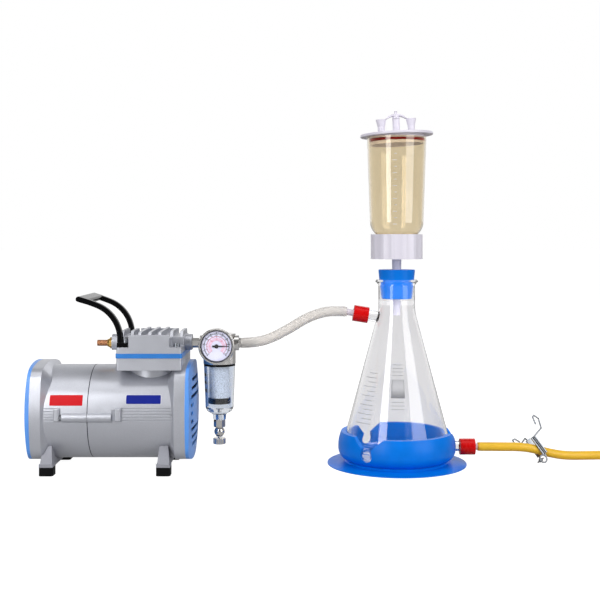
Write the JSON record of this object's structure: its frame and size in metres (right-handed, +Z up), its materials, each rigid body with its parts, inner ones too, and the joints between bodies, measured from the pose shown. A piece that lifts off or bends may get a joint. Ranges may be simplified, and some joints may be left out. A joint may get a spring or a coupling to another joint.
{
  "type": "vacuum filtration unit",
  "caption": "Piston vacuum pump with gauge and moisture trap, joined by hose to a side-arm conical flask in a suction base with a filter funnel and a clamped drain hose.",
  "frame": {"origin": "on the table under the flask's axis, at the middle of the suction base's flat underside", "axes": "+X from the pump past the flask to the drain outlet, +Y away from the front, +Z up"},
  "size_m": [0.8053, 0.166, 0.4222],
  "materials": {
    "silver_paint": "die cast, silver powder coat",
    "blue_cover": "moulded, satin",
    "blue_plate": "anodised",
    "black_rubber": "moulded",
    "steel": "machined",
    "black_plastic": "moulded, glossy",
    "lamination": "laminated stack with windings",
    "fan_plastic": "moulded",
    "cast_alloy": "cast",
    "seal_plastic": "filled fluoropolymer",
    "brass": "turned",
    "bronze": "sintered",
    "nickel": "nickel plated",
    "dial_white": "printed dial",
    "clear_lens": "clear",
    "clear_bowl": "clear moulded plastic",
    "filter_white": "porous",
    "clear_silicone": "translucent silicone",
    "white_plastic": "moulded polypropylene",
    "red_plastic": "moulded",
    "flask_glass": "borosilicate",
    "blue_silicone": "moulded silicone",
    "amber_hose": "latex tubing",
    "screen_steel": "perforated",
    "gasket_silicone": "moulded silicone",
    "amber_cup": "amber polysulfone",
    "red_silicone": "moulded silicone"
  },
  "bodies": {
    "base": {"motor_housing": "silver_paint", "crankcase_housing": "silver_paint", "foot_bracket_left": "silver_paint", "foot_bracket_right": "silver_paint", "cylinder_block": "silver_paint", "cylinder_head": "silver_paint", "fan_cover_left": "blue_cover", "fan_cover_right": "blue_cover", "valve_plate": "blue_plate", "rubber_feet": "black_rubber", "bowl_seal": "black_rubber", "tie_bolts": "steel", "head_bolts": "steel", "motor_bearings": "steel", "reed_valves": "steel", "clamp_front_jaw": "steel", "cylinder_sleeve": "steel", "cable_gland": "black_plastic", "carry_handle": "black_plastic", "filter_baffle": "black_plastic", "stator": "lamination", "silencer_body": "brass", "silencer_element": "bronze", "inlet_nipple": "nickel", "trap_head": "nickel", "hose_barb": "nickel", "gauge_case": "nickel", "gauge_dial": "dial_white", "gauge_lens": "clear_lens", "filter_element": "filter_white", "vacuum_hose": "clear_silicone", "side_connector": "white_plastic", "drain_connector": "white_plastic", "funnel_base": "white_plastic", "flask": "flask_glass", "flask_base": "blue_silicone", "stopper": "blue_silicone", "drain_hose": "amber_hose", "support_screen": "screen_steel", "funnel_gasket": "gasket_silicone", "funnel_cup": "amber_cup"},
    "rotor_shaft": {"rotor": "steel", "fan_left": "fan_plastic", "fan_right": "fan_plastic", "eccentric": "cast_alloy"},
    "rod": {"crank_bearing": "steel", "connecting_rod": "cast_alloy", "piston_seal": "seal_plastic"},
    "needle": {"gauge_needle": "black_plastic"},
    "bowl": {"trap_bowl": "clear_bowl", "drain_valve_body": "nickel"},
    "drain_screw": {"drain_knob": "nickel"},
    "upper_cap": {"side_cap": "red_plastic"},
    "lower_cap": {"drain_cap": "red_plastic"},
    "collar": {"locking_collar": "white_plastic"},
    "lid": {"funnel_lid": "white_plastic", "lid_o_ring": "red_silicone", "vent_strap": "white_plastic"},
    "switch": {"power_switch": "black_plastic"},
    "clamp_jaw": {"clamp_rear_jaw": "steel"}
  },
  "joints": [
    {"name": "motor_spin", "type": "hinge", "parent": "base", "child": "rotor_shaft", "pos_m": [-0.3, -0.02, 0.0664], "axis": [1, 0, 0], "continuous": true},
    {"name": "crank_pin", "type": "hinge", "parent": "rotor_shaft", "child": "rod", "pos_m": [-0.2875, -0.02, 0.0694], "axis": [1, 0, 0], "continuous": true, "deforming": ["piston_seal"]},
    {"name": "needle_swing", "type": "hinge", "parent": "base", "child": "needle", "pos_m": [-0.212, -0.0535, 0.145], "axis": [0, 1, 0], "range_deg": [-225, 45]},
    {"name": "bowl_turn", "type": "hinge", "parent": "base", "child": "bowl", "pos_m": [-0.211, -0.02, 0.1], "axis": [0, 0, 1], "range_deg": [-60, 0]},
    {"name": "drain_knob_turn", "type": "hinge", "parent": "bowl", "child": "drain_screw", "pos_m": [-0.211, -0.02, 0.03], "axis": [0, 0, 1], "range_deg": [0, 180]},
    {"name": "upper_cap_turn", "type": "hinge", "parent": "base", "child": "upper_cap", "pos_m": [-0.043, 0, 0.1786], "axis": [-0.9877, 0, 0.1564], "range_deg": [0, 90]},
    {"name": "lower_cap_turn", "type": "hinge", "parent": "base", "child": "lower_cap", "pos_m": [0.0845, 0, 0.0196], "axis": [1, 0, 0], "range_deg": [0, 90]},
    {"name": "collar_turn", "type": "hinge", "parent": "base", "child": "collar", "pos_m": [0, 0, 0.26], "axis": [0, 0, 1], "range_deg": [0, 90]},
    {"name": "lid_lift", "type": "slide", "parent": "base", "child": "lid", "axis": [0, 0, 1], "range_m": [0, 0.03]},
    {"name": "switch_rock", "type": "hinge", "parent": "base", "child": "switch", "pos_m": [-0.384, 0.0385, 0.0874], "axis": [1, 0, 0], "range_deg": [-9, 9]},
    {"name": "clamp_open", "type": "hinge", "parent": "base", "child": "clamp_jaw", "pos_m": [0.17296, 0.00053, 0.00303], "axis": [0.7724, 0.4719, 0.4251], "range_deg": [-25, 0], "stiffness_Nm_per_rad": 0.05, "springref_deg": 11.46}
  ],
  "couplings": [
    {"joint": "crank_pin", "follows": "motor_spin", "ratio": -1}
  ]
}
